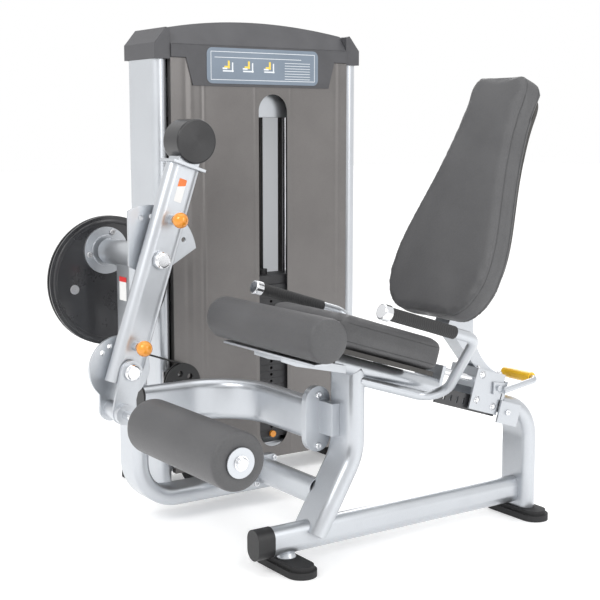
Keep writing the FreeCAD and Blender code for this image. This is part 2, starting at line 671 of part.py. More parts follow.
def cam():
    y, z = D["knee_y"], D["knee_z"]
    x = D["cam_x"]
    half = D["cam_groove"] / 2
    solids = []
    for start in (x + half, x - half - D["cam_plate"]):
        disc = cylinder("Sizes.cam_radius", "Sizes.cam_plate", (start, cam_middle.y, cam_middle.z),
                        (1, 0, 0))
        solids.append(cut(disc, cylinder("Sizes.shaft_radius", 40, (start - 5, y, z), (1, 0, 0))))
    track = cylinder("Sizes.cam_track", D["cam_groove"] - 0.2,
                     (x - half + 0.1, cam_middle.y, cam_middle.z), (1, 0, 0))
    solids.append(cut(track, cylinder("Sizes.shaft_radius", 40, (x - 20, y, z), (1, 0, 0))))
    wrap = doc.addObject("Part::Feature", "Wrap")
    wrap.Shape = cable_wrap()
    keep(group(*solids, wrap), "cam")
    start = x + half + D["cam_plate"] + 0.1
    flange = fuse(cylinder("Sizes.flange_radius", 8, (start, y, z), (1, 0, 0)),
                  cylinder(46, 11, (start, y, z), (1, 0, 0)))
    keep(cut(flange, cylinder("Sizes.shaft_radius", 40, (start - 5, y, z), (1, 0, 0))), "hub_flange")
    bolts = []
    for angle in (70, 190, 310):
        a = math.radians(angle)
        at = (start + 8.1, y + 57 * math.cos(a), z + 57 * math.sin(a))
        bolts.append(bolt_shape(9, 7, 0, 0, at, (1, 0, 0)))
    at = (start, cam_middle.y - 117, cam_middle.z - 20)
    bolts.append(bolt_shape(14, 3, 0, 0, at, (1, 0, 0)))
    shape_piece("cam_bolts", Part.makeCompound(bolts))
    start_plate()
    shaft = Part.makeCylinder(D["shaft_radius"], 371, Vector(-745, y, z), X)
    cap = Part.makeCylinder(25, 15, Vector(-374.8, y, z), X)
    cap = cap.makeFillet(9, [e for e in cap.Edges if e.CenterOfMass.x > -361])
    shape_piece("knee_shaft", shaft.fuse(cap))


def start_plate():
    """The holed plate on the shaft that sets where the lever starts."""
    y, z, radius = D["knee_y"], D["knee_z"], D["start_radius"]
    def rim(angle, r=radius):
        a = math.radians(angle)
        return (y + r * math.cos(a), z + r * math.sin(a))
    points = [rim(8), rim(116), (y - 66, z - 20), (y - 26, z - 40), (y + 60, z - 30)]
    plate = outline_plate(points, 8, -452, {0: rim(62)})
    plate = plate.cut(Part.makeCylinder(D["shaft_radius"], 30, Vector(-460, y, z), X))
    for angle in range(22, 112, 16):
        a = math.radians(angle + 1.3)
        at = Vector(-460, y + D["pin_circle"] * math.cos(a), z + D["pin_circle"] * math.sin(a))
        plate = plate.cut(Part.makeCylinder(7, 30, at, X))
    shape_piece("start_plate", plate)


# ---- lever -------------------------------------------------------------------------------------

def lever():
    x = D["lever_x"]
    face = x + D["oval_thin"] / 2
    bottom = lever_at(x, 0, -D["lever_down"])
    turn = facing((0, math.cos(lean), -math.sin(lean)), tuple(lever_turn.multVec(Z)))
    tube = oval_bar(None, "Sizes.lever_wide", "Sizes.oval_thin",
                    "Sizes.lever_up + Sizes.lever_down", Placement(bottom, turn))
    holes = [cylinder(24, 80, tuple(lever_at(x - 40, 0, 0)), (1, 0, 0)),
             cylinder(18, 80, tuple(lever_at(x - 40, 0, -D["pivot_down"])), (1, 0, 0))]
    stations = (D["pin_circle"], -D["pivot_down"] + D["link_circle"])
    for up in stations:
        holes.append(cylinder(9, 80, tuple(lever_at(x - 40, 0, up)), (1, 0, 0)))
    keep(cut(tube, *holes), "lever_tube")
    sleeves = []
    for up, outer, inner, low, long in ((0, 24, 15, -438, 61), (-D["pivot_down"], 18, 10, -436, 58)):
        at = tuple(lever_at(low, 0, up))
        sleeve = cylinder(outer, long, at, (1, 0, 0))
        sleeves.append(cut(sleeve, cylinder(inner + D["fit"], long + 4,
                                            tuple(lever_at(low - 2, 0, up)), (1, 0, 0))))
    collars = []
    for up in stations:
        base = cylinder(9, 66, tuple(lever_at(-434, 0, up)), (1, 0, 0))
        collar = cylinder(14, 20, tuple(lever_at(face + 0.1, 0, up)), (1, 0, 0))
        bore = cylinder(6 + D["fit"], 100, tuple(lever_at(-440, 0, up)), (1, 0, 0))
        collars.append(cut(fuse(base, collar), bore))
    plate = box((84, 104, 8), tuple(lever_at(x - 42, -52, D["lever_up"] + 0.1)), lever_turn)
    centre_up = D["lever_up"] + 8 + D["weight_radius"] + 4
    cradle = box((60, 66, 20), tuple(lever_at(x - 30, -33, D["lever_up"] + 8.2)), lever_turn)
    middle = lever_at(x - D["weight_long"] / 2, 0, centre_up)
    around = cylinder("Sizes.weight_radius + 0.1", 200, tuple(middle - X * 50), (1, 0, 0))
    keep(group(*sleeves, *collars, plate, cut(cradle, around)), "lever_fittings")
    weight = cylinder("Sizes.weight_radius", "Sizes.weight_long", tuple(middle), (1, 0, 0))
    keep(rounded(weight, 5, lambda e: e.Curve.TypeId == "Part::GeomCircle"), "counterweight")


def pull_pins():
    """Spring pull pins with ball knobs, one for the start plate and one for the shin link."""
    for label, up, nose in (("start_pin", D["pin_circle"], -443.5),
                            ("shin_pin", -D["pivot_down"] + D["link_circle"], -437.5)):
        at = lever_at(nose, 0, up)
        stem = Part.makeCylinder(6, -352 - nose, at, X)
        ball = Part.makeSphere(22, Vector(-334, at.y, at.z))
        neck = Part.makeCylinder(9, 13.5, Vector(-360.5, at.y, at.z), X)
        knob = ball.fuse(neck).cut(Part.makeCylinder(6, 60, Vector(-412, at.y, at.z), X))
        shape_piece(label, Part.makeCompound([stem, knob]))


# ---- shin link and roller ----------------------------------------------------------------------

def shin_link():
    pivot, axle = link_pivot, shin_axis
    far = Part.makeCylinder(D["link_radius"], 10, Vector(-448, pivot.y, pivot.z), X)
    lobe = outline_plate(lobe_points(pivot, axle, 66, 34), 10, -448)
    tip = Part.makeCylinder(34, 10, Vector(-448, axle.y, axle.z), X)
    far = far.fuse(lobe).fuse(tip)
    toward_pin = math.degrees(math.atan2(math.cos(lean), math.sin(lean)))
    for step in range(-3, 4):
        a = math.radians(toward_pin + 22 * step)
        at = Vector(-460, pivot.y + D["link_circle"] * math.cos(a),
                    pivot.z + D["link_circle"] * math.sin(a))
        far = far.cut(Part.makeCylinder(7, 30, at, X))
    near = Part.makeCylinder(33, 10, Vector(-375, pivot.y, pivot.z), X)
    near = near.fuse(outline_plate(lobe_points(pivot, axle, 33, 30), 10, -375))
    near = near.fuse(Part.makeCylinder(30, 10, Vector(-375, axle.y, axle.z), X))
    spacer = Part.makeCylinder(24, 62.8, Vector(-438, axle.y, axle.z), X)
    bores = Part.makeCylinder(12, 200, Vector(-500, axle.y, axle.z), X)
    pivot_bore = Part.makeCylinder(10, 200, Vector(-500, pivot.y, pivot.z), X)
    collar = Part.makeCylinder(28, 20, Vector(-365, axle.y, axle.z), X)
    far = far.fuse(spacer).removeSplitter()
    near = near.fuse(collar).removeSplitter()
    shape_piece("link_disc", far.cut(bores).cut(pivot_bore))
    shape_piece("link_plate", near.cut(bores).cut(pivot_bore))
    bolt = Part.makeCylinder(10, 86, Vector(-451, pivot.y, pivot.z), X)
    cap = Part.makeCylinder(24, 14, Vector(-364.9, pivot.y, pivot.z), X)
    cap = cap.makeFillet(8, [e for e in cap.Edges if e.CenterOfMass.x > -352])
    shape_piece("link_pivot_bolt", bolt.fuse(cap))
    bar = Part.makeCylinder(12, 712, Vector(-451, axle.y, axle.z), X)
    nut = Part.makeCylinder(15, 8, Vector(252, axle.y, axle.z), X)
    nut = nut.makeFillet(4, [e for e in nut.Edges if e.CenterOfMass.x > 259])
    washer = Part.makeCylinder(19, 2.4, Vector(249.6, axle.y, axle.z), X)
    shape_piece("roller_axle", bar.fuse(nut).fuse(washer).removeSplitter())


def lobe_points(start, end, wide_start, wide_end):
    """A plate's outline that narrows from one round to the other."""
    d = Vector(0, end.y - start.y, end.z - start.z).normalize()
    side = Vector(0, -d.z, d.y)
    corners = [start + side * wide_start, end + side * wide_end,
               end - side * wide_end, start - side * wide_start]
    return [(c.y, c.z) for c in corners]


def shin_roller():
    axle = shin_axis
    middle_x = 20
    low = middle_x - D["shin_long"] / 2
    foam = cylinder("Sizes.shin_radius", "Sizes.shin_long", (low, axle.y, axle.z), (1, 0, 0))
    hole = cylinder(20.1, D["shin_long"] + 4, (low - 2, axle.y, axle.z), (1, 0, 0))
    keep(cut(rounded(foam, 12, lambda e: e.Curve.TypeId == "Part::GeomCircle"), hole), "shin_roller")
    hub = Part.makeCylinder(20, D["shin_long"], Vector(low, axle.y, axle.z), X)
    for x in (low - 4.1, low + D["shin_long"] + 0.1):
        hub = hub.fuse(Part.makeCylinder(37, 4, Vector(x, axle.y, axle.z), X))
        hub = hub.fuse(Part.makeCylinder(20, 0.2, Vector(x if x > 0 else x + 3.9, axle.y, axle.z), X))
    hub = hub.fuse(Part.makeCylinder(20, D["shin_long"] + 4, Vector(low - 2, axle.y, axle.z), X))
    bore = Part.makeCylinder(12 + D["fit"], D["shin_long"] + 40, Vector(low - 20, axle.y, axle.z), X)
    shape_piece("roller_hub", hub.removeSplitter().cut(bore))


# ---- seat, thigh roller, handles ---------------------------------------------------------------

def seat():
    w, thick = D["seat_wide"], D["seat_thick"]
    pad = box(("Sizes.seat_wide", "Sizes.seat_long", "Sizes.seat_thick"),
              tuple(seat_at(-w / 2, 0, 0.2)), seat_turn)
    keep(rounded(pad, 22, lambda e: True), "seat_pad")
    keep(box(("Sizes.seat_wide - 30", "Sizes.seat_long - 24", "Sizes.board_thick"),
             tuple(seat_at(-w / 2 + 15, 12, -D["board_thick"])), seat_turn), "seat_board")
    low = -2 - D["thigh_long"] / 2
    y, z = -38, 648
    foam = cylinder("Sizes.thigh_radius", "Sizes.thigh_long", (low, y, z), (1, 0, 0))
    keep(rounded(foam, 10, lambda e: e.Curve.TypeId == "Part::GeomCircle"), "thigh_roller")
    strip = box((430, 46, 6), (-218, -58, z - D["thigh_radius"] - 6.4))
    arm_end = seat_at(0, 92, -38.5)
    arms = []
    for x in (-63.1, 63.1):
        arms.append(outline_plate([(-56, 580.9), (-14, 580.9), (arm_end.y + 30, 541),
                                   (arm_end.y + 30, 520), (-14, 556), (-56, 572)], 6, x - 3))
    arm_set = doc.addObject("Part::Feature", "Arms")
    arm_set.Shape = Part.makeCompound(arms)
    keep(group(strip, arm_set), "thigh_roller_mount")


def handles(envelopes):
    r, x = D["handle_radius"], D["handle_x"]
    way = seat_turn.multVec(Y)
    doc.recompute()
    bars, grips, caps = [], [], []
    for side in (1, -1):
        grip_front = Vector(side * x, 92, 715)
        corner = grip_front + way * 318
        low_corner = Vector(side * 92, 455, 413)
        weld = low_corner - way * 264
        weld.x = side * 48
        points = [tuple(weld), tuple(low_corner), tuple(corner), tuple(grip_front)]
        bars.append(round_sweep(r, points, [62, 44]).cut([e.Shape for e in envelopes]))
        sleeve = Part.makeCylinder(D["grip_radius"], 222, grip_front + way * 16, way)
        grips.append(sleeve.cut(Part.makeCylinder(r, 260, grip_front, way)))
        cap = Part.makeCylinder(20.5, 24, grip_front - way * 8.1, way)
        cap = cap.makeFillet(5, [e for e in cap.Edges
                                 if (e.CenterOfMass - grip_front).dot(way) < -6
                                 and e.Curve.TypeId == "Part::GeomCircle"])
        caps.append(cap.cut(Part.makeCylinder(r, 30, grip_front, way)))
    shape_piece("handles", Part.makeCompound(bars))
    shape_piece("handle_grips", Part.makeCompound(grips))
    shape_piece("grip_caps", Part.makeCompound(caps))


# ---- carriage and back -------------------------------------------------------------------------

def seat_block(x, back, up, size):
    """A block square to the seat, from its lowest corner in seat directions."""
    solid = Part.makeBox(*size)
    solid.Placement = Placement(seat_at(x, back, up), seat_turn)
    return solid


def seat_bar(radius, x, back, up, length):
    """A round bar along the seat's fall."""
    return Part.makeCylinder(radius, length, seat_at(x, back, up), seat_turn.multVec(Y))


def carriage_track():
    """Two ground rods between the plate on the rail and the plate on the rear upright."""
    x, r, up = D["rod_x"], D["rod_radius"], 12
    way = tuple(seat_turn.multVec(Y))
    rods = [cylinder("Sizes.rod_radius", 248.8, tuple(seat_at(side * x, 479.4, up)), way)
            for side in (-1, 1)]
    keep(group(*rods), "carriage_rods")
    front = seat_block(-56, 467.2, -66, (112, 12, 92))
    rear = seat_block(-56, 716.2, -64, (112, 12, 92))
    for side in (-1, 1):
        rear = rear.cut(seat_bar(r, side * x, 700, up, 60))
    ear = seat_block(60.1, 712, -94, (6, 82, 66))
    shape_piece("rod_plates", Part.makeCompound([front, rear, ear]))
    rack = seat_block(36, 479.4, -80, (6, 236.6, 46))
    for i in range(8):
        rack = rack.cut(seat_block(30, 508 + 25 * i, -66, (20, 7, 18)))
    shape_piece("adjuster_rack", rack)


def carriage():
    """A block with two long bores, side plates outside the rack, and a top plate."""
    block = seat_block(-50, 602, -12, (100, 106, 54))
    for side in (-1, 1):
        block = block.cut(seat_bar(D["rod_radius"] + D["fit"], side * D["rod_x"], 590, 12, 140))
        low_x = 50 if side > 0 else -56
        block = block.fuse(seat_block(low_x, 600, -74, (6, 112, 120)))
    block = block.fuse(seat_block(-50, 600, 42, (100, 112, 4)))
    pivot = release_pivot
    block = block.fuse(Part.makeCylinder(5, 13, Vector(51, pivot.y, pivot.z), X))
    block = block.fuse(Part.makeCylinder(9, 6, Vector(63.1, pivot.y, pivot.z), X))
    shape_piece("carriage", block.removeSplitter())
    bracket()


def bracket():
    """A folded channel, open to the rear, that carries the back pad."""
    board = D["back_thick"] + D["board_thick"] + 0.6
    low, high = back_at(0, 6, board), back_at(0, 236, board)
    front, rear = seat_at(0, 610, 46.2), seat_at(0, 706, 46.2)
    outline = [(front.y, front.z), (rear.y, rear.z), (624, 600), (high.y + 14, high.z),
               (high.y, high.z), (low.y, low.z)]
    solid = outline_plate(outline, 60, -30, {1: (666, 496)})
    inner = [(front.y + 12, front.z + 6), (rear.y + 60, rear.z + 2), (720, 600),
             (high.y + 60, high.z + 10), (high.y + 6, high.z - 10), (low.y + 9, low.z + 4)]
    channel = solid.cut(outline_plate(inner, 48, -24))
    shape_piece("back_bracket", channel.removeSplitter())


back_turn = Rotation(X, -D["back_tilt"])
back_zero = Vector(0, 446.8, 635)


def back_at(x, up, behind):
    """A point given along the back pad's face, from its lower edge, and behind the face."""
    return back_zero + back_turn.multVec(Vector(x, behind, up))


def back_outline(shrink, behind):
    """The bottle-shaped outline of the back pad: two mirrored curves and two straight ends."""
    half = [(112, 14), (172, 52), (203, 120), (206, 190), (186, 296), (148, 436), (124, 560),
            (117, 650), (110, 716), (86, 740)]
    middle = 377
    side = [(u * shrink, middle + (v - middle) * (shrink + 0.03 * (shrink < 1))) for u, v in half]
    curves = []
    for sign in (1, -1):
        spline = Part.BSplineCurve()
        spline.interpolate([back_at(sign * u, v, behind) for u, v in side])
        curves.append(spline.toShape())
    ends = []
    for u, v in (side[0], side[-1]):
        ends.append(Part.LineSegment(back_at(-u, v, behind), back_at(u, v, behind)).toShape())
    return Part.Face(Part.Wire(Part.__sortEdges__(curves + ends)))


def back():
    normal = back_turn.multVec(Y)
    pad = back_outline(1, 0).extrude(normal * D["back_thick"])
    shape_piece("back_pad", pad)
    board = back_outline(0.86, D["back_thick"] + 0.2).extrude(normal * D["board_thick"])
    shape_piece("back_board", board)


def release():
    """A lever on the carriage's side that lifts the latch out of the rack."""
    pivot = release_pivot
    tab = outline_plate([(pivot.y - 18, pivot.z + 20), (pivot.y - 20, pivot.z - 16),
                         (pivot.y + 26, pivot.z - 18), (pivot.y + 26, pivot.z + 12)], 6, 57)
    start = (70, pivot.y + 12, pivot.z - 8)
    corner = (78, 838, 428)
    end = (-58, 838, 428)
    bar = round_sweep(9, [start, corner, end], [22])
    body = tab.fuse(bar).removeSplitter()
    bore = Part.makeCylinder(5 + D["fit"], 20, Vector(50, pivot.y, pivot.z), X)
    shape_piece("release_lever", body.cut(bore))
    grip = Part.makeCylinder(16, 88, Vector(-34, corner[1], corner[2]), X)
    grip = grip.cut(Part.makeCylinder(9, 200, Vector(-100, corner[1], corner[2]), X))
    knob = Part.makeCylinder(15, 30, Vector(-65, corner[1], corner[2]), X)
    knob = knob.makeFillet(7, [e for e in knob.Edges if e.CenterOfMass.x < -64])
    knob = knob.cut(Part.makeCylinder(9, 200, Vector(-66, corner[1], corner[2]), X))
    shape_piece("release_grip", Part.makeCompound([grip, knob]))


def finish():
    doc.recompute()
    bad = [o.Name for o in doc.Objects if "Invalid" in o.State or "Error" in o.State]
    labels = [p.Label for p in parts]
    if len(set(labels)) != len(labels):
        raise RuntimeError("two pieces share a label")
    for p in parts:
        if p.Shape.isNull() or not p.Shape.isValid() or p.Shape.Volume <= 0:
            bad.append(p.Label)
    if bad:
        raise RuntimeError("failed objects: %s" % bad)
    shift = Placement(Vector(-D["origin_x"], -D["origin_y"], 0), Rotation())
    whole = FreeCAD.BoundBox()
    os.makedirs("parts", exist_ok=True)
    for p in parts:
        p.Placement = shift.multiply(p.Placement)
    doc.recompute()
    for p in parts:
        whole.add(p.Shape.BoundBox)
        p.Shape.exportStep("parts/%s.step" % p.Label)
    print("%d pieces, box %s" % (len(parts), whole))


def feet(bumpers):
    """The four floor pads, and the two rubber rings under the weight stack."""
    pads = list(bumpers)
    for x, y in ((0, 0), (0, D["rear_upright_y"]), (D["tower_foot_x"], D["front_post_y"]),
                 (D["tower_foot_x"], D["rear_post_y"])):
        body = doc.addObject("PartDesign::Body", "Foot")
        wide = sketch_on(body, "XY_Plane")
        draw_oval(wide, "Sizes.foot_long", "Sizes.foot_wide")
        pad = body.newObject("PartDesign::Pad", "Sole")
        pad.Profile = wide
        bind(pad, "Length", "Sizes.foot_height * 0.6")
        doc.recompute()
        step = sketch_on(body, "XY_Plane", Placement(Vector(0, 0, D["foot_height"] * 0.6), Rotation()))
        draw_oval(step, "Sizes.foot_long - 16", "Sizes.foot_wide - 16")
        upper = body.newObject("PartDesign::Pad", "Step")
        upper.Profile = step
        bind(upper, "Length", "Sizes.foot_height * 0.4")
        body.Placement = Placement(Vector(x, y, 0), Rotation())
        pads.append(body)
    keep(group(*pads), "rubber_feet")


posts = tower_posts()
post_caps()
top_cover()
shrouds()
bumpers = tower_frame(posts)
stack_top = weight_stack()
pulleys(stack_top, cables())
envelopes = seat_frame()
frame_flanges()
feet(bumpers)
lever_side_frame()
knee_bearing()
cam()
lever()
pull_pins()
shin_link()
shin_roller()
seat()
handles(envelopes)
carriage_track()
carriage()
back()
release()
finish()
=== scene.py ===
import bpy
import bmesh
import numpy as np
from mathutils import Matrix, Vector
from mathutils.bvhtree import BVHTree
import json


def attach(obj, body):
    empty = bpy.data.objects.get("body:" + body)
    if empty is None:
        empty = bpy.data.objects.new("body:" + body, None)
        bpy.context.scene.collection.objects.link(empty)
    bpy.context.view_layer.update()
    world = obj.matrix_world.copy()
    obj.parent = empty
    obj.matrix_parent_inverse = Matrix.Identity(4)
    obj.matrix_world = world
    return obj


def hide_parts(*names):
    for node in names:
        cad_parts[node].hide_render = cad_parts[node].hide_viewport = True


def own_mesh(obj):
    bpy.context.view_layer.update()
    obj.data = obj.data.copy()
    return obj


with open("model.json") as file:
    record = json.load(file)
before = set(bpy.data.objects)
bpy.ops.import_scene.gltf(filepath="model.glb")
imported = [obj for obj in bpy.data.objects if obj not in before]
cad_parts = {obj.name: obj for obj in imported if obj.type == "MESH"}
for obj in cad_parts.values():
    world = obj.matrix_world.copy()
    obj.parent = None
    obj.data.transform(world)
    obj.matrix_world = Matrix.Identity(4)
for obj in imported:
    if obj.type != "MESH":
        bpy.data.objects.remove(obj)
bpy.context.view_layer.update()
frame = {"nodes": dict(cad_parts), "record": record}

# ---- shared values and helpers --------------------------------------------------------------
# Lengths below are written in millimetres from the middle of the front foot, as the machine is
# drawn, and turned into metres from the middle of the footprint.
ORIGIN = np.array([-377.4, 256.9, 0.0])
SEAT_FALL = np.radians(17.5)
BACK_LEAN = np.radians(23.5)
LEVER_LEAN = np.radians(18.7)
KNEE = np.array([0.0, -160.0, 799.0])
nodes = frame["nodes"]


def at(points):
    """Drawing millimetres to frame metres, for one point or rows of points."""
    return (np.asarray(points, float) - ORIGIN) / 1000


def seat_at(x, back, up):
    """A point by its distance behind the seat's front lower edge and above its underside."""
    c, s = np.cos(SEAT_FALL), np.sin(SEAT_FALL)
    return np.array([x, 39 + back * c + up * s, 618 - back * s + up * c])


def lever_at(x, across, up):
    """A point across and along the leaning lever, from the knee axis."""
    c, s = np.cos(LEVER_LEAN), np.sin(LEVER_LEAN)
    return KNEE + np.array([x, across * c + up * s, -across * s + up * c])


def made(name, verts, faces, smooth=True):
    """A mesh object at the origin from vertex rows in metres and face lists."""
    mesh = bpy.data.meshes.new(name)
    mesh.from_pydata([tuple(v) for v in verts], [], [tuple(f) for f in faces])
    work = bmesh.new()
    work.from_mesh(mesh)
    bmesh.ops.recalc_face_normals(work, faces=work.faces)
    work.to_mesh(mesh)
    work.free()
    mesh.polygons.foreach_set("use_smooth", [smooth] * len(mesh.polygons))
    obj = bpy.data.objects.new(name, mesh)
    bpy.context.scene.collection.objects.link(obj)
    return obj


def grid_faces(rows, cols, wrap_rows=False, wrap_cols=True):
    """Quads of a grid stored row by row, closed round in either direction if asked."""
    faces = []
    for i in range(rows if wrap_rows else rows - 1):
        for j in range(cols if wrap_cols else cols - 1):
            a, b = i * cols + j, i * cols + (j + 1) % cols
            c, d = ((i + 1) % rows) * cols + (j + 1) % cols, ((i + 1) % rows) * cols + j
            faces.append((a, b, c, d))
    return faces


def basis(axis):
    """Two unit vectors square to an axis, and the axis itself."""
    w = np.asarray(axis, float) / np.linalg.norm(axis)
    u = np.cross(w, (0, 0, 1.0) if abs(w[2]) < 0.9 else (1.0, 0, 0))
    u /= np.linalg.norm(u)
    return u, np.cross(w, u), w


def lathe(name, profile, centre, axis, turns=48):
    """A profile of (radius, distance along) turned about an axis; both ends close at a point."""
    u, v, w = basis(axis)
    prof = np.asarray(profile, float)
    angle = np.linspace(0, 2 * np.pi, turns, endpoint=False)
    ring = np.cos(angle)[:, None] * u + np.sin(angle)[:, None] * v
    verts = prof[:, 0, None, None] * ring[None] + (prof[:, 1, None] * w)[:, None, :]
    verts = verts.reshape(-1, 3) + np.asarray(centre, float)
    faces = grid_faces(len(prof), turns)
    first, last = len(verts), len(verts) + 1
    ends = [centre + prof[0, 1] * w, centre + prof[-1, 1] * w]
    base = (len(prof) - 1) * turns
    for j in range(turns):
        k = (j + 1) % turns
        faces += [(k, j, first), (base + j, base + k, last)]
    return made(name, at(np.vstack([verts, ends])), faces)


def rod(name, path, radius, closed=False, turns=12):
    """A round bar along rows of points: a circle carried along the path."""
    path = np.asarray(path, float)
    ahead = np.roll(path, -1, 0) - np.roll(path, 1, 0)
    if not closed:
        ahead[0], ahead[-1] = path[1] - path[0], path[-1] - path[-2]
    ahead /= np.linalg.norm(ahead, axis=1)[:, None]
    side = basis(ahead[0])[0]
    rows = []
    angle = np.linspace(0, 2 * np.pi, turns, endpoint=False)
    for p, t in zip(path, ahead):
        side = side - t * side.dot(t)
        side /= np.linalg.norm(side)
        rows.append(p + radius * (np.cos(angle)[:, None] * side
                                  + np.sin(angle)[:, None] * np.cross(t, side)))
    faces = grid_faces(len(path), turns, wrap_rows=closed)
    if not closed:
        faces += [tuple(range(turns)), tuple(range(len(path) * turns - turns, len(path) * turns))]
    return made(name, at(np.vstack(rows)), faces)


def stadium(wide, thin, corners=10):
    """Outline rows of a flat oval, wide along the first axis."""
    half = (wide - thin) / 2
    a = np.linspace(-np.pi / 2, np.pi / 2, corners)
    right = np.stack([half + thin / 2 * np.cos(a), thin / 2 * np.sin(a)], 1)
    return np.vstack([right, -right])


def rounded_rectangle(wide, long, radius, corners=8):
    """Outline rows of a rectangle with round corners, starting at the origin's far side."""
    rows = []
    for cx, cy, first in ((1, 1, 0), (-1, 1, 90), (-1, -1, 180), (1, -1, 270)):
        a = np.radians(np.linspace(first, first + 90, corners))
        rows.append(np.stack([cx * (wide / 2 - radius) + radius * np.cos(a),
                              cy * (long / 2 - radius) + radius * np.sin(a)], 1))
    return np.vstack(rows)


def slab(name, outline, origin, u, v, thick, soft=1.5):
    """A plate from an outline in the (u, v) plane, with its rims rounded off by a small step."""
    u, v = np.asarray(u, float), np.asarray(v, float)
    w = np.cross(u, v)
    flat = np.asarray(outline, float)
    middle = flat.mean(0)
    reach = np.abs(flat - middle).max(0)
    rows = []
    for shrink, level in ((soft, 0), (0, soft), (0, thick - soft), (soft, thick)):
        ring = middle + (flat - middle) * (1 - shrink / reach)
        rows.append(origin + ring[:, :1] * u + ring[:, 1:] * v + level * w)
    n = len(flat)
    faces = grid_faces(4, n) + [tuple(range(n)), tuple(range(3 * n, 4 * n))]
    return made(name, at(np.vstack(rows)), faces, smooth=False)


def joined(name, objs):
    """Several pieces made into one mesh object."""
    work = bmesh.new()
    for obj in objs:
        work.from_mesh(obj.data)
        bpy.data.objects.remove(obj)
    mesh = bpy.data.meshes.new(name)
    work.to_mesh(mesh)
    work.free()
    result = bpy.data.objects.new(name, mesh)
    bpy.context.scene.collection.objects.link(result)
    return result


# ---- finishes -------------------------------------------------------------------------------
# Every finish is worked out from the place on the piece: two tones laid over each other by
# noise, a matching change of gloss, a fine relief, and edges that catch the light.

def node(tree, kind, links=None, **values):
    """Adds a shader node, sets its properties, and feeds its inputs from sockets or numbers."""
    made_node = tree.nodes.new(kind)
    for key, value in values.items():
        setattr(made_node, key, value)
    for key, value in (links or {}).items():
        socket = made_node.inputs[key]
        if isinstance(value, bpy.types.NodeSocket):
            tree.links.new(value, socket)
        else:
            socket.default_value = value
    return made_node


def maths(tree, operation, a, b=0.0, clamp=False):
    """One arithmetic step on two values."""
    return node(tree, "ShaderNodeMath", {0: a, 1: b}, operation=operation, use_clamp=clamp).outputs[0]


def surface_group():
    """Coat: mottling at one size and speckle at another, with a relief and softened edges."""
    group = bpy.data.node_groups.new("Coat", "ShaderNodeTree")
    face = group.interface
    for name, default in (("Mottle Scale", 6.0), ("Grain Scale", 400.0), ("Relief", 0.1),
                          ("Edge", 0.0012), ("Height", 0.0)):
        face.new_socket(name, in_out="INPUT", socket_type="NodeSocketFloat").default_value = default
    for name, kind in (("Mottle", "NodeSocketFloat"), ("Grain", "NodeSocketFloat"),
                       ("Normal", "NodeSocketVector")):
        face.new_socket(name, in_out="OUTPUT", socket_type=kind)
    given = group.nodes.new("NodeGroupInput")
    result = group.nodes.new("NodeGroupOutput")
    place = node(group, "ShaderNodeTexCoord").outputs["Object"]
    broad = node(group, "ShaderNodeTexNoise", {"Vector": place, "Scale": given.outputs[0],
                                               "Detail": 5.0, "Roughness": 0.6})
    fine = node(group, "ShaderNodeTexNoise", {"Vector": place, "Scale": given.outputs[1],
                                              "Detail": 2.0})
    edge = node(group, "ShaderNodeBevel", {"Radius": given.outputs[3]}, samples=4)
    height = maths(group, "ADD", fine.outputs["Fac"], given.outputs[4])
    bump = node(group, "ShaderNodeBump", {"Strength": given.outputs[2], "Distance": 0.001,
                                          "Height": height, "Normal": edge.outputs[0]})
    group.links.new(broad.outputs["Fac"], result.inputs[0])
    group.links.new(fine.outputs["Fac"], result.inputs[1])
    group.links.new(bump.outputs[0], result.inputs[2])
    return group


coat_group = surface_group()


def finish(name, light, dark, metallic=0.0, rough=0.5, spread=0.12, mottle=6.0, grain=400.0,
           relief=0.1, edge=0.0012, coat=0.0, speckle=0.3, height=None, tint=None):
    """A finish between two tones. height and tint are functions that add a relief or repaint."""
    mat = bpy.data.materials.new(name)
    mat.use_nodes = True
    tree = mat.node_tree
    shader = tree.nodes["Principled BSDF"]
    extra = height(tree) if height else 0.0
    group = node(tree, "ShaderNodeGroup", node_tree=coat_group)
    for key, value in (("Mottle Scale", mottle), ("Grain Scale", grain), ("Relief", relief),
                       ("Edge", edge)):
        group.inputs[key].default_value = value
    if height:
        tree.links.new(extra, group.inputs["Height"])
    weight = maths(tree, "MULTIPLY", group.outputs["Grain"], speckle)
    weight = maths(tree, "ADD", weight, maths(tree, "MULTIPLY", group.outputs["Mottle"], 1 - speckle))
    ramp = node(tree, "ShaderNodeMapRange", {0: weight, 1: 0.35, 2: 0.65, 3: 0.0, 4: 1.0})
    mix = node(tree, "ShaderNodeMix", {0: ramp.outputs[0], 6: (*dark, 1), 7: (*light, 1)},
               data_type="RGBA")
    colour = mix.outputs[2]
    if tint:
        colour = tint(tree, colour)
    tree.links.new(colour, shader.inputs["Base Color"])
    gloss = node(tree, "ShaderNodeMapRange", {0: group.outputs["Mottle"], 1: 0.3, 2: 0.7,
                                              3: rough - spread / 2, 4: rough + spread / 2})
    tree.links.new(gloss.outputs[0], shader.inputs["Roughness"])
    tree.links.new(group.outputs["Normal"], shader.inputs["Normal"])
    shader.inputs["Metallic"].default_value = metallic
    shader.inputs["Coat Weight"].default_value = coat
    shader.inputs["Coat Roughness"].default_value = 0.12
    return mat


def coordinate(tree, axis):
    """One object coordinate, in metres."""
    place = node(tree, "ShaderNodeTexCoord").outputs["Object"]
    return node(tree, "ShaderNodeSeparateXYZ", {0: place}).outputs[axis]


def bump_at(tree, value, centre, width):
    """A smooth hump of 1 at centre: e to the power of minus (distance over width) squared."""
    away = maths(tree, "DIVIDE", maths(tree, "SUBTRACT", value, centre), width)
    square = maths(tree, "MULTIPLY", away, away)
    return maths(tree, "POWER", 2.718, maths(tree, "MULTIPLY", square, -1.0))


